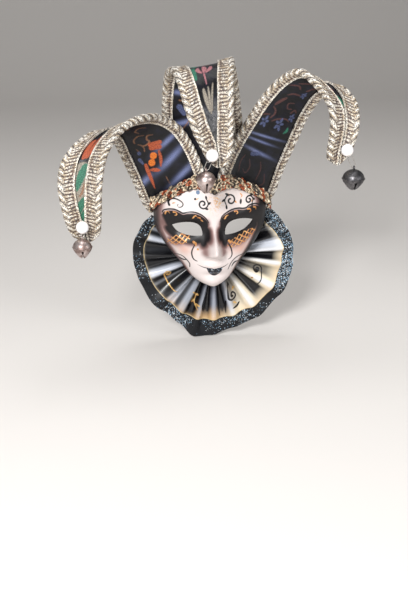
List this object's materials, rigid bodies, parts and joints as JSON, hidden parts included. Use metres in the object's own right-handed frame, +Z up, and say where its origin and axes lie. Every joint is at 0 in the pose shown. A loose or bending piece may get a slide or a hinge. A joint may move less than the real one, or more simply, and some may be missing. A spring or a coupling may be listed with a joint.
{
  "type": "venetian jester mask",
  "caption": "Full-face Venetian jester mask with a pleated painted collar, curled brocade horns edged in gold braid, pearls and hanging jingle bells.",
  "frame": {"origin": "the point the mask hangs by, just behind the top edge of the forehead, on the middle line of the face", "axes": "+Z up, -Y the way the face looks, +X to the right as seen from the front"},
  "size_m": [0.3472, 0.1364, 0.3599],
  "materials": {
    "painted_papier_mache": "satin varnish over cream paint, with shaded edges, dark brows and gold strokes",
    "lacquered_card": "gloss lacquer over cream and dark airbrushed pleats, glitter rim",
    "brocade": "black satin brocade with copper, teal and violet figures",
    "lurex_braid": "gold ribbed braid with dark flecks",
    "gimp_trim": "looped gold and copper gimp",
    "pearl": "pearly gloss",
    "steel_wire": "plain drawn wire",
    "antique_bell": "antiqued brownish silver plating",
    "dark_bell": "dark grey plating"
  },
  "bodies": {
    "mask": {"face": "painted_papier_mache", "collar": "lacquered_card", "forehead_trim": "gimp_trim", "horn_left": "brocade", "horn_left_inner_braid": "lurex_braid", "horn_left_outer_braid": "lurex_braid", "bead_left": "pearl", "bell_wire_left": "steel_wire", "horn_middle": "brocade", "horn_middle_inner_braid": "lurex_braid", "horn_middle_outer_braid": "lurex_braid", "bead_middle": "pearl", "bell_wire_middle": "steel_wire", "horn_right": "brocade", "horn_right_inner_braid": "lurex_braid", "horn_right_outer_braid": "lurex_braid", "bead_right": "pearl", "bell_wire_right": "steel_wire"},
    "bell_left": {"bell_left": "antique_bell"},
    "bell_middle": {"bell_middle": "antique_bell"},
    "bell_right": {"bell_right": "dark_bell"}
  },
  "joints": [
    {"name": "bell_left_swing", "type": "hinge", "parent": "mask", "child": "bell_left", "pos_m": [-0.15817, -0.08469, -0.03093], "axis": [1, 0, 0], "range_deg": [-60, 15]},
    {"name": "bell_middle_swing", "type": "hinge", "parent": "mask", "child": "bell_middle", "pos_m": [-0.01968, -0.07698, 0.03835], "axis": [1, 0, 0], "range_deg": [-45, 45]},
    {"name": "bell_right_swing", "type": "hinge", "parent": "mask", "child": "bell_right", "pos_m": [0.15241, -0.06404, 0.0325], "axis": [1, 0, 0], "range_deg": [-45, 45]}
  ]
}
